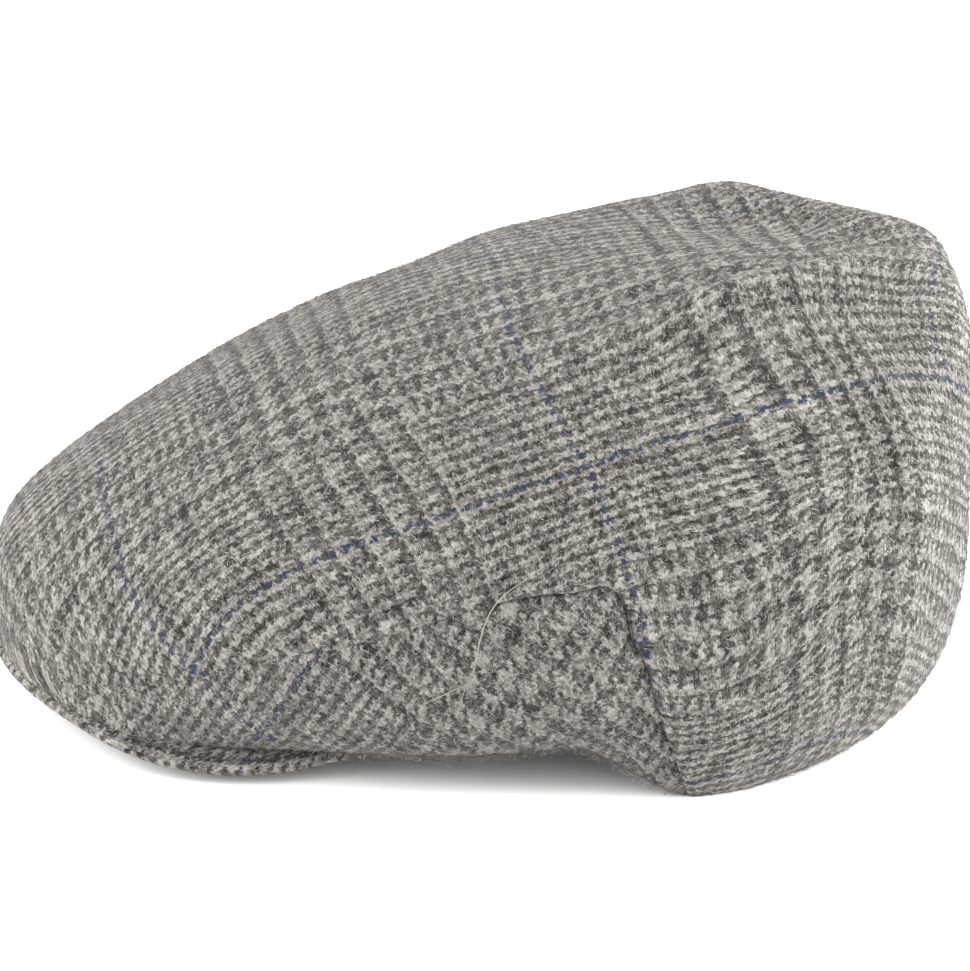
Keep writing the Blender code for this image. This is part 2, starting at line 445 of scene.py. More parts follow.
def fanned(angles, levels):
    """A first guess of the flat cloth: a fan from the top's middle, open at the back seam."""
    turned, risen = form_places(angles, levels)
    reach = grid_sample(from_top, rises_known, angles_known, risen, np.abs(turned))[..., 0]
    opened = np.clip((back_seam_top - levels) / back_seam_top, 0, 1)[:, None]
    turn = np.radians(turned) * (1 - fan_gap * opened**2 * (3 - 2 * opened))
    return np.stack((reach * np.sin(turn), -reach * np.cos(turn)), -1)


angles_known = np.linspace(0, 180, 181)
rises_known = np.linspace(0, 2, 401)
known = form_point(angles_known[None], rises_known[:, None])
known_steps = np.linalg.norm(np.diff(known, axis=0), axis=2)
from_top = np.concatenate((np.cumsum(known_steps[::-1], 0)[::-1], np.zeros((1, 181))))[..., None]
fan_gap = 0.18
back_seam_top = 1.28
# the grid's columns and levels crowd together at the seams and the rim
half_columns = spread(0, 180, 220, ((panel_start, 0.8, 5), (panel_end, 1.0, 9), (180, 0.9, 7)))
crown_angles = both_sides(half_columns)
low_levels = spread(0, 1, 44, ((0, 0.02, 12), (1, 0.03, 5)))
top_levels = spread(1, 2, 82, ((1, 0.012, 12),))
crown_levels = np.concatenate((low_levels[:-1], top_levels))
crown_form = form_grid(crown_angles, crown_levels)

# a coarse grid is laid flat first, and the fine one takes its places from it
laying_rounds = 12
laying_steps = 250
coarse_half = np.concatenate(
    (
        np.linspace(0, panel_start, 8)[:-1],
        np.linspace(panel_start, panel_end, 24)[:-1],
        np.linspace(panel_end, 180, 20),
    )
)
coarse_angles = both_sides(coarse_half)
coarse_levels = np.concatenate((np.linspace(0, 1, 10)[:-1], np.linspace(1, 2, 34)[:-1]))
coarse_form = form_grid(coarse_angles, coarse_levels)
coarse_kept = in_crown(coarse_levels, coarse_angles)
joined = np.nonzero(coarse_levels > back_seam_top)[0]
number, near_pairs = spring_pairs(coarse_kept, joined)
last_ring = number[-1, :-1]
across = [np.stack((last_ring, np.roll(last_ring, len(last_ring) // part)), 1) for part in (2, 3, 4)]
pairs = np.unique(np.sort(np.concatenate((near_pairs, *across)), 1), axis=0)
coarse_points = coarse_form[coarse_kept]
guess = fanned(coarse_angles, coarse_levels)[coarse_kept]
pulls = check_pulls(coarse_points, 0.03)
flat = guess
for _ in range(laying_rounds):
    flat = relaxed(coarse_points, flat, pairs, pulls, laying_steps)
    flat = guess + smoothed(flat - guess, near_pairs, 4)
coarse_moved = np.zeros(coarse_kept.shape + (2,))
coarse_moved[coarse_kept] = flat - guess
coarse_moved[joined, -1] = coarse_moved[joined, 0]

top_row = len(crown_levels) - 1
crown_kept = in_crown(crown_levels, crown_angles)
joined = np.nonzero(crown_levels > back_seam_top)[0]
_, pairs = spring_pairs(crown_kept, joined)
crown_points = crown_form[crown_kept]
fine_places = (crown_levels[:, None], crown_angles[None])
crown_moved = grid_sample(coarse_moved, coarse_levels, coarse_angles, *fine_places)
crown_flat = fanned(crown_angles, crown_levels)
raw_flat = crown_flat[crown_kept] + smoothed(crown_moved[crown_kept], pairs, 30)

# round the top's middle the columns crowd together, so a plain curved sheet is laid there
sheet_ring = (1.60, 1.90)
sheet_start = 1.64
sheet_blend = 0.16
kept_level = np.broadcast_to(crown_levels[:, None], crown_kept.shape)[crown_kept]
x, y = crown_points[:, 0] / half_width, crown_points[:, 1] / half_width
powers = np.stack([x**i * y**j for i in range(4) for j in range(4 - i)], 1)
ring = (kept_level > sheet_ring[0]) & (kept_level < sheet_ring[1])
sheet, *_ = np.linalg.lstsq(powers[ring], raw_flat[ring], rcond=None)
share = np.clip((kept_level - sheet_start) / sheet_blend, 0, 1)[:, None]
share = share**2 * (3 - 2 * share)
raw_flat = raw_flat * (1 - share) + powers @ sheet * share
flat = eased_to_marks(raw_flat, check_pulls(crown_points, 1))
crown_flat[crown_kept] = flat
crown_flat[joined, -1] = crown_flat[joined, 0]
crown_flat[top_row] = crown_flat[top_row - 1].mean(0)
crown_threads = (crown_flat - (lengthwise_line, crosswise_line)) / thread

# Folds of the crown: how deep (less than 0 stands out), how wide, and points on the form in
# millimetres. The near ridge of the top has a crest between two valleys, and the back corner
# is drawn into an upright edge.
folds = (
    (-0.0022, 0.0055, ((58, 12, 109), (50, 32, 117), (44, 44, 122), (37, 60, 126),
                       (31, 76, 128), (20, 94, 128), (4, 110, 127))),
    (0.0038, 0.0070, ((42, 24, 117), (35, 42, 122), (29, 56, 125), (23, 70, 127),
                      (15, 84, 127), (2, 98, 126))),
    (0.0013, 0.0080, ((66, 30, 108), (62, 37, 111), (54, 53, 117), (48, 67, 121),
                      (43, 81, 122), (36, 96, 122))),
    (0.0012, 0.0090, ((-12, 52, 124), (-14, 72, 126), (-12, 92, 127))),
    (-0.0026, 0.0070, ((50, 94, 116), (57, 99, 111), (64, 106, 103), (70, 109, 91),
                       (73, 111, 76), (74, 110, 57), (72, 107, 30), (71, 104, 12))),
    (0.0010, 0.0100, ((58, 86, 111), (72, 94, 92), (80, 94, 74), (82, 92, 50))),
    (-0.0008, 0.0080, ((84, 0, 82), (90, 16, 72), (92, 26, 62))),
)


def fold_line(marks):
    """Close samples of a smooth line through points given in millimetres."""
    marks = np.array(marks, float) / millimetres
    places = np.arange(len(marks), dtype=float)
    fine = np.linspace(0, len(marks) - 1, 12 * len(marks))
    return np.stack([smooth_curve(places, marks[:, axis], False)(fine) for axis in range(3)], 1)


def folded(points):
    """How far the folds sink the surface at each point."""
    sunk = np.zeros(points.shape[:-1])
    for depth, width, marks in folds:
        away, place = nearest(points, fold_line(marks))
        sunk += depth * np.sqrt(np.clip(np.sin(math.pi * place), 0, 1)) * np.exp(-((away / width) ** 2))
    return sunk


def uneven(points, size, depth):
    """Small random rises and dips of soft cloth."""
    flat_list = points.reshape(-1, 3) / size
    return depth * np.array([noise.noise(Vector(point)) for point in flat_list]).reshape(points.shape[:-1])


def panel_outline(samples=260):
    """The temple panel's sewn edge: along its top and down its back edge."""
    top_angles = np.linspace(panel_start, panel_end, samples)
    top_line = form_grid(top_angles, np.array([1.0]))[0]
    back_line = form_grid(np.array([panel_end]), np.linspace(1, 0, samples // 2))[:, 0]
    return np.concatenate((top_line, back_line[1:]))


# how hard the seam is drawn in, from its front end round to the foot of its back edge
sewn_edge = panel_outline()
edge_places = np.linspace(0, 1, 101)
seam_strength = np.interp(
    edge_places,
    (0, 0.10, 0.22, 0.43, 0.50, 0.54, 0.74, 0.86, 1),
    (0.04, 0.04, 0.25, 0.30, 0.50, 0.95, 1.0, 0.5, 0.3),
)


def sewn(points):
    """Distance to the temple seam on either side, and how hard it is drawn in there."""
    mirrored = points.copy()
    mirrored[..., 0] = np.abs(mirrored[..., 0])
    away, place = nearest(mirrored, sewn_edge)
    return away, np.interp(place, edge_places, seam_strength)


def rim_roll(angles):
    """How much the rim's edge rolls in; where the peak is sewn under it, it turns out instead."""
    return np.interp(np.abs(angles), (0, 38, 52), (-1, -0.8, 1))


def cloth_grid(rows, columns):
    """A flat grid in a new bmesh, and the row and column of each of its points."""
    shape = bmesh.new()
    bmesh.ops.create_grid(shape, x_segments=columns - 1, y_segments=rows - 1, size=1)
    shape.verts.ensure_lookup_table()
    flat_places = np.array([vert.co[:2] for vert in shape.verts])
    column = np.rint((flat_places[:, 0] + 1) / 2 * (columns - 1)).astype(int)
    row = np.rint((flat_places[:, 1] + 1) / 2 * (rows - 1)).astype(int)
    return shape, row, column


def lay_cloth(shape, row, column, grid, threads, pressed=None):
    """Move a flat grid's points onto the form, with the weave's threads as its UV map."""
    layer = shape.loops.layers.uv.new("threads")
    resting = shape.verts.layers.float_vector.new("resting")
    moved = shape.verts.layers.float_vector.new("moved")
    pressed = np.zeros_like(grid) if pressed is None else pressed
    for vert, point, move in zip(shape.verts, grid[row, column], pressed[row, column]):
        vert.co = point
        vert[resting] = point
        vert[moved] = move
    places = threads[row, column]
    for face in shape.faces:
        for loop in face.loops:
            loop[layer].uv = places[loop.vert.index]


cut_edge_angle = math.radians(50)


def face_outward(shape):
    """Turn an open sheet's faces away from the middle of the cap."""
    shape.normal_update()
    middle = Vector((0, 0, crown_height / 4))
    if sum(face.normal.dot(face.calc_center_median() - middle) for face in shape.faces) < 0:
        bmesh.ops.reverse_faces(shape, faces=shape.faces)


def order_rim(shape, both_sides_faces):
    """Put the rim's faces, which solidify adds last in no fixed order, in order of their points."""
    shape.verts.index_update()
    shape.faces.index_update()
    count = len(shape.verts)

    def place(face):
        if face.index < both_sides_faces:
            return face.index
        first, second = sorted(vert.index for vert in face.verts)[:2]
        return both_sides_faces + first * count + second

    shape.faces.sort(key=place)


def press_seams(shape):
    """Draw the outer side of a thick cloth in along its seams; the inner side stays."""
    resting = shape.verts.layers.float_vector["resting"]
    moved = shape.verts.layers.float_vector["moved"]
    for vert in shape.verts:
        if (vert.co - vert[resting]).length < 1e-5:
            vert.co += vert[moved]


def new_piece(name, mesh):
    piece = bpy.data.objects.new(name, mesh)
    bpy.context.scene.collection.objects.link(piece)
    return piece


def cloth_piece(name, shape, thickness=cloth_thickness):
    """A smooth object from a bmesh of one cloth side, given its thickness inwards."""
    if thickness:
        face_outward(shape)
        both_sides_faces = 2 * len(shape.faces)
        bmesh.ops.solidify(shape, geom=shape.faces[:], thickness=thickness)
        order_rim(shape, both_sides_faces)
        press_seams(shape)
    bmesh.ops.recalc_face_normals(shape, faces=shape.faces)
    for edge in shape.edges:
        edge.smooth = edge.calc_face_angle(0) < cut_edge_angle
    mesh = bpy.data.meshes.new(name)
    shape.to_mesh(mesh)
    shape.free()
    mesh.shade_smooth()
    return new_piece(name, mesh)


# The cloth swells beside each seam and is drawn in at it, and its rim rolls over. Depths come
# first, then widths; the waves of soft cloth are given by size and depth.
swell = (0.0007, 0.0030)
swell_away = 0.0035
groove = (0.0011, 0.0006)
back_groove = (0.0010, 0.0009)
back_swell = (0.0004, 0.0030)
back_swell_away = 0.004
back_fade = 0.12
crown_edge_radius = 0.0009
rim_radius = 0.0011
cloth_waves = ((0.026, 0.0005), (0.009, 0.00016))
crown_normals = outward(crown_form)
away, strength = sewn(crown_form)
rim_away = np.linalg.norm(crown_form - crown_form[:1], axis=-1)
back_away = np.minimum(
    np.linalg.norm(crown_form - crown_form[:, :1], axis=-1),
    np.linalg.norm(crown_form - crown_form[:, -1:], axis=-1),
)
back_hold = np.clip((back_seam_top - crown_levels) / back_fade, 0, 1)[:, None]
lift = swell[0] * strength * np.exp(-(((away - swell_away) / swell[1]) ** 2))
lift -= rounded_edge(rim_away, rim_radius) * rim_roll(crown_angles)
lift -= back_hold * (back_groove[0] * np.exp(-((back_away / back_groove[1]) ** 2)))
lift += back_hold * (back_swell[0] * np.exp(-(((back_away - back_swell_away) / back_swell[1]) ** 2)))
lift -= folded(crown_form)
lift += sum(uneven(crown_form, size, depth) for size, depth in cloth_waves)
lift[top_row] = lift[top_row - 1].mean()
crown_normals[top_row] = (0, 0, 1)
crown_surface = crown_form + crown_normals * lift[..., None]
drawn_in = rounded_edge(away, crown_edge_radius) + groove[0] * np.exp(-((away / groove[1]) ** 2))
drawn_in = -strength * drawn_in
crown_seam = crown_normals * drawn_in[..., None]
crown_surface[:, -1] = crown_surface[:, 0]
crown_surface[..., 2] = np.maximum(crown_surface[..., 2], 0)

shape, row, column = cloth_grid(len(crown_levels), len(crown_angles))
lay_cloth(shape, row, column, crown_surface, crown_threads, crown_seam)
seam_row = len(low_levels) - 1
column_side = np.abs(crown_angles[column])
under_panel = (column_side > panel_start + 1e-6) & (column_side < panel_end - 1e-6)
cut = [vert for vert in shape.verts if row[vert.index] < seam_row and under_panel[vert.index]]
at_back = (column == 0) | (column == len(crown_angles) - 1)
closed = [vert for vert in shape.verts if at_back[vert.index] or row[vert.index] == top_row]
bmesh.ops.remove_doubles(shape, verts=closed, dist=1e-6)
bmesh.ops.delete(shape, geom=cut, context="VERTS")
crown = cloth_piece("crown_cloth", shape)


class Strand:
    """A socket of a material's nodes; adding, taking and so on add Math nodes."""

    def __init__(self, socket):
        self.socket = socket

    def node(self, kind, settings, values, out=0):
        """Any other node: its type, its settings, then its sockets' values or strands."""
        tree = self.socket.id_data
        node = tree.nodes.new("ShaderNode" + kind)
        for name, value in settings.items():
            setattr(node, name, value)
        for place, value in values.items():
            if isinstance(value, Strand):
                tree.links.new(value.socket, node.inputs[place])
            else:
                node.inputs[place].default_value = value
        return Strand(node.outputs[out])

    def maths(self, operation, *others):
        values = dict(enumerate((self, *others)))
        return self.node("Math", {"operation": operation}, values)

    def __add__(self, other):
        return self.maths("ADD", other)

    def __sub__(self, other):
        return self.maths("SUBTRACT", other)

    def __mul__(self, other):
        return self.maths("MULTIPLY", other)

    def __rsub__(self, other):
        return (self * -1) + other

    def __mod__(self, other):
        return self.maths("FLOORED_MODULO", other)

    def __lt__(self, other):
        return self.maths("LESS_THAN", other)

    __radd__ = __add__

    def mix(self, other, share):
        """This value or colour, turned into the other by a share."""
        kind = "RGBA" if self.socket.type == "RGBA" else "FLOAT"
        first, second, result = (6, 7, 2) if kind == "RGBA" else (2, 3, 0)
        values = {0: share, first: self, second: other}
        return self.node("Mix", {"data_type": kind}, values, result)


def new_finish(name, even):
    """A new material and its shader, with the values that are the same all over."""
    finish = bpy.data.materials.new(name)
    finish.use_nodes = True
    shader = finish.node_tree.nodes["Principled BSDF"]
    for socket, value in even.items():
        shader.inputs[socket].default_value = value
    return finish, shader


light_yarn = (0.231, 0.220, 0.206, 1)
dark_yarn = (0.0094, 0.0083, 0.0069, 1)
navy_yarn = (0.012, 0.017, 0.047, 1)
fine_threads = 68
navy_middle = 33
wander, drawn, hairy = 2.0, 1.5, 0.7


def tweed(name):
    """Brushed 2/2 twill in a glen check: groups of 4 and of 2 threads, with a navy pair."""
    even = {
        "Roughness": 0.92,
        "Specular IOR Level": 0.10,
        "Sheen Weight": 0.10,
        "Sheen Tint": (1, 0.98, 0.93, 1),
        "Sheen Roughness": 0.5,
    }
    cloth, shader = new_finish(name, even)
    links = cloth.node_tree.links
    start = cloth.node_tree.nodes.new("ShaderNodeUVMap")
    start.uv_map = "threads"
    threads = Strand(start.outputs[0])

    def grain(vector, scale, detail, out=0):
        values = {"Vector": vector, "Scale": scale, "Detail": detail}
        return threads.node("TexNoise", {"noise_dimensions": "2D"}, values, out)

    def parts(colour):
        split = threads.node("SeparateXYZ", {}, {0: colour})
        return split, Strand(split.socket.node.outputs[1])

    # the yarns wander a little, and brushing has drawn their fibres over one another
    x, y = parts(threads)
    slow_x, slow_y = parts(grain(threads, 0.11, 1, 1))
    drawn_x, drawn_y = parts(grain(threads, 0.8, 2, 1))
    hair_x, hair_y = parts(grain(threads, 2.6, 2, 1))
    x = x + (slow_x - 0.5) * wander + (drawn_x - 0.5) * drawn + (hair_x - 0.5) * hairy
    y = y + (slow_y - 0.5) * wander + (drawn_y - 0.5) * drawn + (hair_y - 0.5) * hairy
    column, row = x.maths("FLOOR"), y.maths("FLOOR")
    across_x, across_y = x - column, y - row

    def yarn(index):
        """Which threads of the set are dark, and which are navy."""
        place = (index + navy_middle) % check_threads
        fine = place < fine_threads
        dark = ((place - fine_threads) % 8 < 4).mix(place % 4 < 2, fine)
        return dark, place.maths("COMPARE", navy_middle - 0.5, 0.6)

    warp_up = (column + row) % 4 < 2
    along_warp = ((y + column) % 4) * 0.5
    along_weft = ((x + row - 2) % 4) * 0.5
    across = across_y.mix(across_x, warp_up)
    along = along_weft.mix(along_warp, warp_up)
    roundness = (across * math.pi).maths("SINE").maths("MAXIMUM", 0).maths("POWER", 0.5)
    arch = (along * math.pi).maths("SINE").maths("MAXIMUM", 0).maths("POWER", 0.5)
    height = roundness * arch

    warp_dark, warp_navy = yarn(column)
    weft_dark, weft_navy = yarn(row)
    dark = weft_dark.mix(warp_dark, warp_up)
    navy = weft_navy.mix(warp_navy, warp_up)

    # streaks of fibre in four directions, which take turns in small patches
    first_patch = grain(threads, 0.55, 1) < 0.5
    elsewhere = threads.node("VectorMath", {"operation": "ADD"}, {0: threads, 1: (40, 7, 0)})
    second_patch = grain(elsewhere, 0.45, 1) < 0.5

    def streaks(turn, offset):
        values = {"Location": (offset, 0, 0), "Rotation": (0, 0, turn), "Scale": (0.55, 2.4, 1)}
        values["Vector"] = threads
        return grain(threads.node("Mapping", {"vector_type": "POINT"}, values), 1.0, 2)

    fibre = streaks(0.35, 0).mix(streaks(1.25, 9), first_patch)
    other = streaks(-0.35, 17).mix(streaks(-1.15, 31), first_patch)
    fibre = fibre.mix(other, second_patch)
    tuft = grain(threads, 0.6, 3)
    cloudy = grain(threads, 0.14, 3)

    # how pale each spot is: its yarn's own shade, under the fibres pulled over it
    pale = 0.755 - dark * 0.38 + (fibre - 0.5) * 0.95 + (tuft - 0.5) * 1.10 + (cloudy - 0.5) * 0.7
    pale = pale.maths("MAXIMUM", 0).maths("POWER", 2).maths("MINIMUM", 1)
    shade = threads.node("Mix", {"data_type": "RGBA"}, {0: pale, 6: dark_yarn, 7: light_yarn}, 2)
    blue = navy * (1.60 - tuft * 0.9 - cloudy * 1.0)
    shade = shade.mix(navy_yarn, blue)
    # painted shade: each yarn's colour is darkened where it dips under its neighbours, standing in for the
    # shade in the weave's hollows; the bump below gives the real relief
    painted_hollow_shade = 0.78 + height * 0.3
    colour_with_painted_shade = threads.node("VectorMath", {"operation": "SCALE"}, {0: shade, "Scale": painted_hollow_shade})
    links.new(colour_with_painted_shade.socket, shader.inputs["Base Color"])
    raised = height * 0.6 + fibre * 1.2 + tuft * 0.8
    relief = threads.node("Bump", {}, {"Height": raised, "Strength": 0.6, "Distance": 0.0004})
    links.new(relief.socket, shader.inputs["Normal"])
    return cloth


tweed_cloth = tweed("grey_check_tweed")
crown.data.materials.append(tweed_cloth)
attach(crown, "root")
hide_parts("crown")

# Its top and back edges are sewn under the crown, and its lower edge is the rim.
panel_swell = (0.0008, 0.007)
panel_groove = (0.0010, 0.0008)
panel_edge_radius = 0.0007
# points on the panel's two navy lines, in millimetres: the first falls towards the back
panel_marks = (
    ((78, -77, 31), (79, -71, 26), (79, -65, 21), (79, -61, 17), (78, -58, 15)),
    ((88, -47, 42), (87, -50, 38), (86, -53, 31), (83, -57, 25), (76, -62, 14)),
)
panel_angles = half_columns[(half_columns > panel_start - 1e-6) & (half_columns < panel_end + 1e-6)]
panel_levels = low_levels
panel_form = form_grid(panel_angles, panel_levels)


def lengths_along(grid, axis):
    """Lengths along a grid's rows or columns from their start."""
    steps = np.linalg.norm(np.diff(grid, axis=axis), axis=2)
    start = np.zeros_like(np.take(steps, [0], axis=axis))
    return np.concatenate((start, np.cumsum(steps, axis)), axis)


few_angles = np.linspace(panel_angles[0], panel_angles[-1], 50)
few_levels = np.linspace(0, 1, 18)
few_form = form_grid(few_angles, few_levels)
kept = np.ones(few_form.shape[:2], bool)
_, pairs = spring_pairs(kept, ())
middle = lengths_along(few_form, 1)[len(few_levels) // 2]
guess = np.stack((np.broadcast_to(middle, kept.shape), lengths_along(few_form, 0)), -1)
flat = relaxed(few_form[kept], guess[kept], pairs, (), 2500)
few_flat = flat.reshape(kept.shape + (2,))
panel_flat = grid_sample(few_flat, few_levels, few_angles, panel_levels[:, None], panel_angles[None])
_, pairs = spring_pairs(np.ones(panel_form.shape[:2], bool), ())
flat = relaxed(panel_form.reshape(-1, 3), panel_flat.reshape(-1, 2), pairs, (), 80)
panel_flat = flat.reshape(panel_flat.shape)
lines = []
for marks in panel_marks:
    away = ((panel_form[:, :, None] - np.array(marks) / millimetres) ** 2).sum(-1)
    found = panel_flat.reshape(-1, 2)[away.reshape(-1, len(marks)).argmin(0)]
    _, _, ways = np.linalg.svd(found - found.mean(0))
    lines.append((found.mean(0), ways[0] * np.sign(ways[0][0])))
(first, falling), (second, rising) = lines
weave = np.linalg.inv(np.stack((falling, rising), 1))
panel_cross = first + falling * (weave @ (second - first))[0]
panel_threads = (panel_flat - panel_cross) @ weave.T / thread

panel_normals = outward(panel_form)
away, strength = sewn(panel_form)
rim_away = np.linalg.norm(panel_form - panel_form[:1], axis=-1)
lift = -panel_swell[0] * strength * np.exp(-((away / panel_swell[1]) ** 2))
lift -= rounded_edge(rim_away, rim_radius) * rim_roll(panel_angles)
lift += sum(uneven(panel_form, size, depth) for size, depth in cloth_waves)
panel_surface = panel_form + panel_normals * lift[..., None]
drawn_in = rounded_edge(away, panel_edge_radius)
drawn_in = -strength * (drawn_in + panel_groove[0] * np.exp(-((away / panel_groove[1]) ** 2)))
panel_seam = panel_normals * drawn_in[..., None]
panel_surface[..., 2] = np.maximum(panel_surface[..., 2], 0)

for side, name in ((1, "left"), (-1, "right")):
    shape, row, column = cloth_grid(len(panel_levels), len(panel_angles))
    mirror = (side, 1, 1)
    lay_cloth(shape, row, column, panel_surface * mirror, panel_threads, panel_seam * mirror)
    panel = cloth_piece("temple_panel_" + name, shape)
    panel.data.materials.append(tweed_cloth)
    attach(panel, "root")
    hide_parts("side_panel_" + name)

# Peak: a stiff board in a pocket of the same tweed, sewn in under the front of the crown, so
# that only its rolled edge shows there. It ends inside the temples, on the rim's seam.
peak_thickness = 0.0034
peak_reveal = 0.0080
peak_drop = 0.0036
brow_reach = 0.0840
brow_half_width = 0.0750
seat_gap = 0.0001
peak_end = 61
peak_edge = form_table(
    ("angle", "show", "sink"),
    (
        (0, 0.26, 0.31),
        (18, 0.22, 0.30),
        (40, 0.78, 1.21),
        (49, 1.11, 0.90),
        (56, 0.60, 0.60),
        (61, 0.10, 0.00),
    ),
)
peak_angles = np.linspace(-peak_end, peak_end, 181)
nose_radius = peak_thickness / 2
seat_width = 0.006
under_rows, show_rows, nose_rows = 8, 22, 17


def peak_section(angle):
    """Reach and height round the peak's section: over it, round its edge and back under it."""
    side = abs(angle)
    turn = math.radians(angle)
    brow = 1 / math.hypot(math.sin(turn) / brow_half_width, math.cos(turn) / brow_reach)
    seat = around["rim"](side) * oval(side)
    show = peak_edge["show"](side) * peak_reveal
    sink = peak_edge["sink"](side) * peak_drop
    base = rim_height(side) - floor_press - seat_gap

    def upper(reach):
        past = np.maximum(reach - seat, 0) / show
        return np.maximum(base - sink * past**2, peak_thickness)

    flat_end = seat + show - nose_radius
    under = np.linspace(brow, seat - seat_width, under_rows)
    over = np.concatenate((under[:-1], np.linspace(seat - seat_width, flat_end, show_rows)[:-1]))
    round_nose = np.linspace(math.pi / 2, -math.pi / 2, nose_rows)
    reach = np.concatenate((over, flat_end + nose_radius * np.cos(round_nose), over[::-1]))
    height = np.concatenate(
        (
            upper(over),
            upper(flat_end) - nose_radius + nose_radius * np.sin(round_nose),
            upper(over[::-1]) - peak_thickness,
        )
    )
    over_plan = (math.sin(turn) * reach, set_back - math.cos(turn) * reach)
    return np.stack((*over_plan, np.maximum(height, 0)), -1)


peak_surface = np.stack([peak_section(angle) for angle in peak_angles], 1)
peak_surface = np.concatenate((peak_surface, peak_surface[:1]))
section_length = lengths_along(peak_surface, 0)
nose_row = under_rows + show_rows + nose_rows // 2 - 1
edge_length = lengths_along(peak_surface, 1)[nose_row]
inwards = section_length - section_length[nose_row]
peak_flat = np.stack((np.broadcast_to(edge_length, inwards.shape), inwards), -1)
peak_line = 0.056
peak_threads = (peak_flat - (edge_length[-1] / 2, peak_line)) / thread
shape, row, column = cloth_grid(*peak_surface.shape[:2])
lay_cloth(shape, row, column, peak_surface, peak_threads)
ends = [vert for vert in shape.verts if row[vert.index] in (0, peak_surface.shape[0] - 1)]
bmesh.ops.remove_doubles(shape, verts=ends, dist=1e-7)
bmesh.ops.holes_fill(shape, edges=[edge for edge in shape.edges if edge.is_boundary])
peak = cloth_piece("peak_cover", shape, thickness=0)
peak.data.materials.append(tweed_cloth)
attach(peak, "root")
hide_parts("peak")

# Loose fibres: brushing raises hairs and yarn ends, which lie over the weave, and fluff along
# the temples' rims. Each is a thin closed spindle with its root in the cloth. Two longer, tan
# hairs lie on the left side.
fibre_root = 0.00012
fibre_radii = (0.000030, 0.000080)
above_table = 0.0001
stray_radius = 0.00014


def surface_spots(grid, threads, kept_cells, count, random):
    """Random places spread evenly over a grid's cells, with their normals and threads."""
    a, b, c, d = grid[:-1, :-1], grid[:-1, 1:], grid[1:, 1:], grid[1:, :-1]
    area = np.linalg.norm(np.cross(c - a, b - d), axis=-1) / 2 * kept_cells
    chosen = random.choice(area.size, count, p=area.ravel() / area.sum())
    r, k = np.unravel_index(chosen, area.shape)
    s, t = random.random((2, count, 1))

    def between(values):
        first = values[r, k] * (1 - s) + values[r, k + 1] * s
        return first * (1 - t) + (values[r + 1, k] * (1 - s) + values[r + 1, k + 1] * s) * t

    normals = np.cross(c - a, d - b)[r, k]
    normals /= np.maximum(np.linalg.norm(normals, axis=1, keepdims=True), 1e-12)
    return between(grid), normals, between(threads)


def clear_of_seam(points):
    """Where no hair grows over the temple seams, whose groove stays sharp."""
    away, strength = sewn(points)
    return (away > 0.0011) | (strength < 0.3)


def fibres(name, spots, normals, threads, random, lift_range=(0.02, 0.30), lengths=(0.0012, 0.0034)):
    """Bent spindles of six faces from each spot, joined in one mesh, each with its own yarn."""
    count = len(spots)
    way = random.normal(size=(count, 3))
    way -= (way * normals).sum(1, keepdims=True) * normals
    way /= np.linalg.norm(way, axis=1, keepdims=True)
    side = np.cross(normals, way)
    length = random.uniform(*lengths, (count, 1))
    rise = random.uniform(*lift_range, (count, 1))
    bend = random.uniform(-0.35, 0.35, (count, 1))
    root = spots - normals * fibre_root
    middle = spots + way * length * 0.5 + normals * length * rise * 0.7 + side * length * bend * 0.5
    tip = spots + way * length + normals * length * rise * 0.8 - side * length * bend * 0.2
    thick = random.uniform(*fibre_radii, (count, 1))
    for part in (root, middle, tip):
        part[:, 2] = np.maximum(part[:, 2], above_table)
    ring = [middle + thick * (math.cos(k) * side + math.sin(k) * normals) for k in (0.5, 2.6, 4.7)]
    points = np.stack((root, *ring, tip), 1).reshape(-1, 3)
    faces = np.array(((0, 2, 1), (0, 3, 2), (0, 1, 3), (4, 1, 2), (4, 2, 3), (4, 3, 1)))
    faces = (faces[None] + 5 * np.arange(count)[:, None, None]).reshape(-1, 3)
    mesh = bpy.data.meshes.new(name)
    mesh.from_pydata(points.tolist(), [], faces.tolist())
    layer = mesh.uv_layers.new(name="threads")
    layer.data.foreach_set("uv", np.repeat(threads, 18, axis=0).ravel())
    mesh.update()
    return new_piece(name, mesh)


def stray_hair(name, marks):
    """One long hair that lies on the cloth, pointed at both ends, through points in mm."""
    line = fold_line(marks)
    along = np.gradient(line, axis=0)
    side = np.cross(along, (1, 0, 0))
    side /= np.linalg.norm(side, axis=1, keepdims=True)
    other = np.cross(along, side)
    other /= np.linalg.norm(other, axis=1, keepdims=True)
    turns = np.linspace(0, 2 * math.pi, 7)[None, :, None]
    thick = stray_radius * np.sqrt(np.clip(np.sin(np.linspace(0, math.pi, len(line))), 0, 1))
    ring = np.cos(turns) * side[:, None] + np.sin(turns) * other[:, None]
    grid = line[:, None] + thick[:, None, None] * ring
    shape, row, column = cloth_grid(*grid.shape[:2])
    lay_cloth(shape, row, column, grid, np.zeros(grid.shape[:2] + (2,)))
    bmesh.ops.remove_doubles(shape, verts=shape.verts, dist=1e-7)
    return cloth_piece(name, shape, thickness=0)


def fibre_wool(name):
    """Single wool hairs, most of them pale and some dark."""
    wool, shader = new_finish(name, {"Roughness": 0.7, "Specular IOR Level": 0.3})
    place = Strand(wool.node_tree.nodes.new("ShaderNodeTexCoord").outputs["Object"])
    patches = place.node("TexNoise", {}, {"Vector": place, "Scale": 900, "Detail": 1})
    stops = patches.node("ValToRGB", {}, {0: patches})
    ramp = stops.socket.node.color_ramp
    ramp.elements[0].position, ramp.elements[0].color = 0.36, (0.045, 0.042, 0.038, 1)
    ramp.elements[1].position, ramp.elements[1].color = 0.58, (0.33, 0.315, 0.298, 1)
    wool.node_tree.links.new(stops.socket, shader.inputs["Base Color"])
    return wool


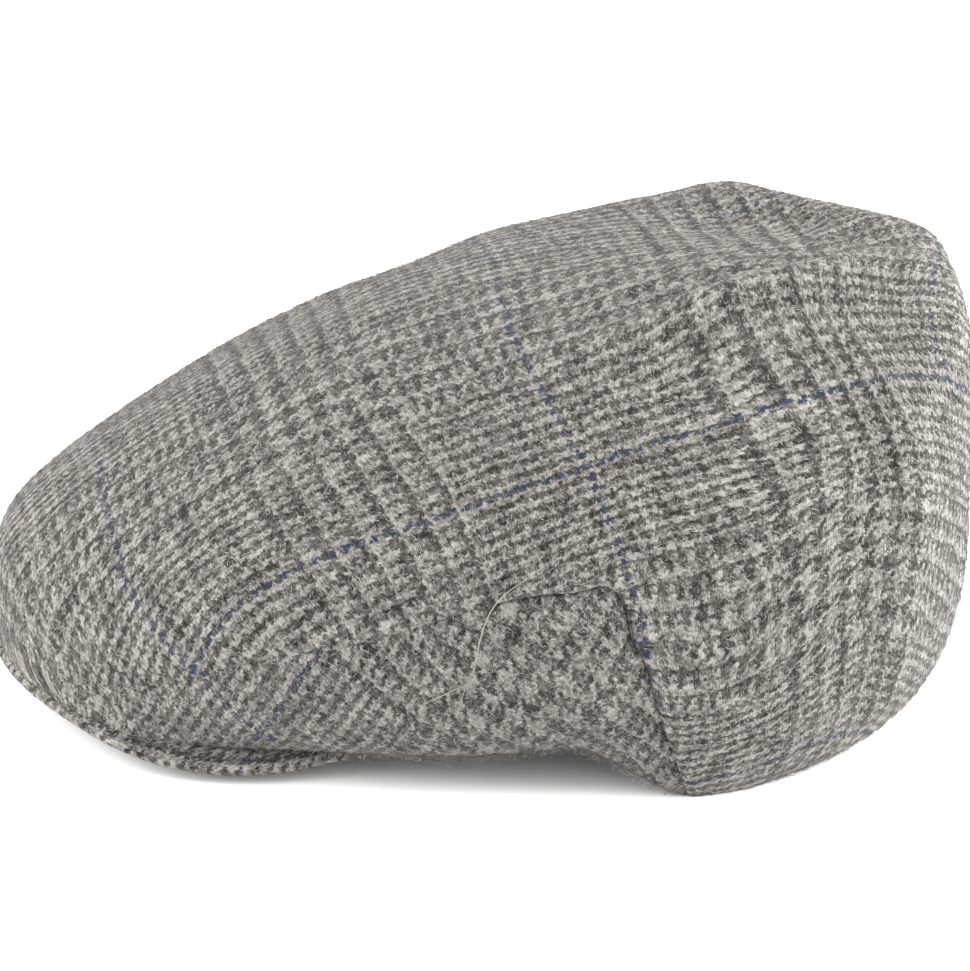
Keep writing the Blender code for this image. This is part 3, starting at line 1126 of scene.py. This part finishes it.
hair = fibre_wool("loose_wool_fibre")
random = np.random.default_rng(7)
panel_cells = clear_of_seam(panel_surface)[:-1, :-1]
kept = in_crown(crown_levels, crown_angles) & clear_of_seam(crown_surface)
crown_cells = kept[:-1, :-1] & kept[1:, :-1] & kept[:-1, 1:] & kept[1:, 1:]
crown_source = (crown_surface + crown_seam, crown_threads, crown_cells, 30000)
peak_cells = np.ones((peak_surface.shape[0] - 1, peak_surface.shape[1] - 1), bool)
rim_cells = panel_cells & (panel_levels[:-1] < 0.07)[:, None]
loose = []
for name, wool, source in (
    ("crown_yarn_ends", tweed_cloth, crown_source),
    ("crown_hairs", hair, crown_source),
    ("peak_hairs", hair, (peak_surface, peak_threads, peak_cells, 4000)),
):
    piece = fibres(name, *surface_spots(*source, random), random)
    piece.data.materials.append(wool)
    loose.append(piece)
for side, name in ((1, "left"), (-1, "right")):
    mirror = (side, 1, 1)
    for kind, wool, cells, count, shape_of in (
        ("panel_yarn_ends_", tweed_cloth, panel_cells, 3500, ()),
        ("panel_hairs_", hair, panel_cells, 3500, ()),
        ("rim_fuzz_", hair, rim_cells, 900, ((0.3, 1.0), (0.0012, 0.0040))),
    ):
        spots, normals, threads = surface_spots(panel_surface, panel_threads, cells, count, random)
        piece = fibres(kind + name, spots * mirror, normals * mirror, threads, random, *shape_of)
        piece.data.materials.append(wool)
        loose.append(piece)
stray_marks = (
    ((95, 15, 75), (96, 8, 69), (97, 1, 64), (98, -4, 56), (97, -6, 45), (96, -7, 41),
     (95, -10, 31), (93, -9, 26)),
    ((94, -19, 32), (95, -14, 35), (96, -7, 39)),
)
tan_hair, _ = new_finish("stray_hair_wool", {"Base Color": (0.19, 0.175, 0.155, 1), "Roughness": 0.8})
for number, marks in enumerate(stray_marks, 1):
    piece = stray_hair(f"stray_hair_{number}", marks)
    piece.data.materials.append(tan_hair)
    loose.append(piece)
for piece in loose:
    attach(piece, "root")

# Table: a plain matt white top under the cap, far wider than the view. It is no part of the
# cap, and shows only the soft shadow that the cap throws.
shape = bmesh.new()
bmesh.ops.create_grid(shape, x_segments=1, y_segments=1, size=4)
mesh = bpy.data.meshes.new("table_top")
shape.to_mesh(mesh)
shape.free()
table_top = new_piece("table_top", mesh)
white, _ = new_finish("white_table", {"Base Color": (0.9, 0.9, 0.9, 1), "Roughness": 0.9})
mesh.materials.append(white)

# Light: two wide, low soft boxes, a stronger one behind the cap and a weaker one before it, in
# a pale room that lights it evenly from all round.
world = bpy.data.worlds.new("pale_room")
world.use_nodes = True
world.node_tree.nodes["Background"].inputs["Color"].default_value = (1, 1, 1, 1)
world.node_tree.nodes["Background"].inputs["Strength"].default_value = 1.75
bpy.context.scene.world = world


def soft_box(name, place, aim, width, power):
    lamp = bpy.data.lights.new(name, "AREA")
    lamp.size = width
    lamp.energy = power
    box = bpy.data.objects.new(name, lamp)
    way = Vector(place) - Vector(aim)
    box.matrix_world = Matrix.Translation(place) @ way.to_track_quat("Z", "Y").to_matrix().to_4x4()
    bpy.context.scene.collection.objects.link(box)


box_width = 0.8
cap_middle = (0, 0, 0.05)
soft_box("soft_box_behind", (0.15, 1.0, 0.42), cap_middle, box_width, power=35)
soft_box("soft_box_before", (0.25, -1.0, 0.45), cap_middle, box_width, power=20)
bpy.context.scene.view_settings.view_transform = "Standard"

# Camera: at the cap's left side, 4 degrees towards the peak and 22 degrees above the table,
# with a long lens. It is turned a little, so that the cap's back sits lower in the picture.
azimuth = math.radians(86)
elevation = math.radians(22)
roll = math.radians(1.5)
camera_distance = 1.6
aim = Vector((0, set_back, 0.055))
picture_width = 970
pixels_per_metre = 3670
sensor = 36.0

back = Vector(
    (
        math.sin(azimuth) * math.cos(elevation),
        -math.cos(azimuth) * math.cos(elevation),
        math.sin(elevation),
    )
)
right = Vector((math.cos(azimuth), math.sin(azimuth), 0))
up = back.cross(right)
right_turned = math.cos(roll) * right + math.sin(roll) * up
up_turned = math.cos(roll) * up - math.sin(roll) * right
lens = bpy.data.cameras.new("camera")
lens.sensor_width = sensor
lens.sensor_fit = "HORIZONTAL"
lens.lens = sensor * pixels_per_metre * camera_distance / picture_width
lens.clip_end = 50
camera = bpy.data.objects.new("camera", lens)
turned = Matrix((right_turned, up_turned, back)).transposed().to_4x4()
camera.matrix_world = Matrix.Translation(aim + back * camera_distance) @ turned
bpy.context.scene.collection.objects.link(camera)
bpy.context.scene.camera = camera
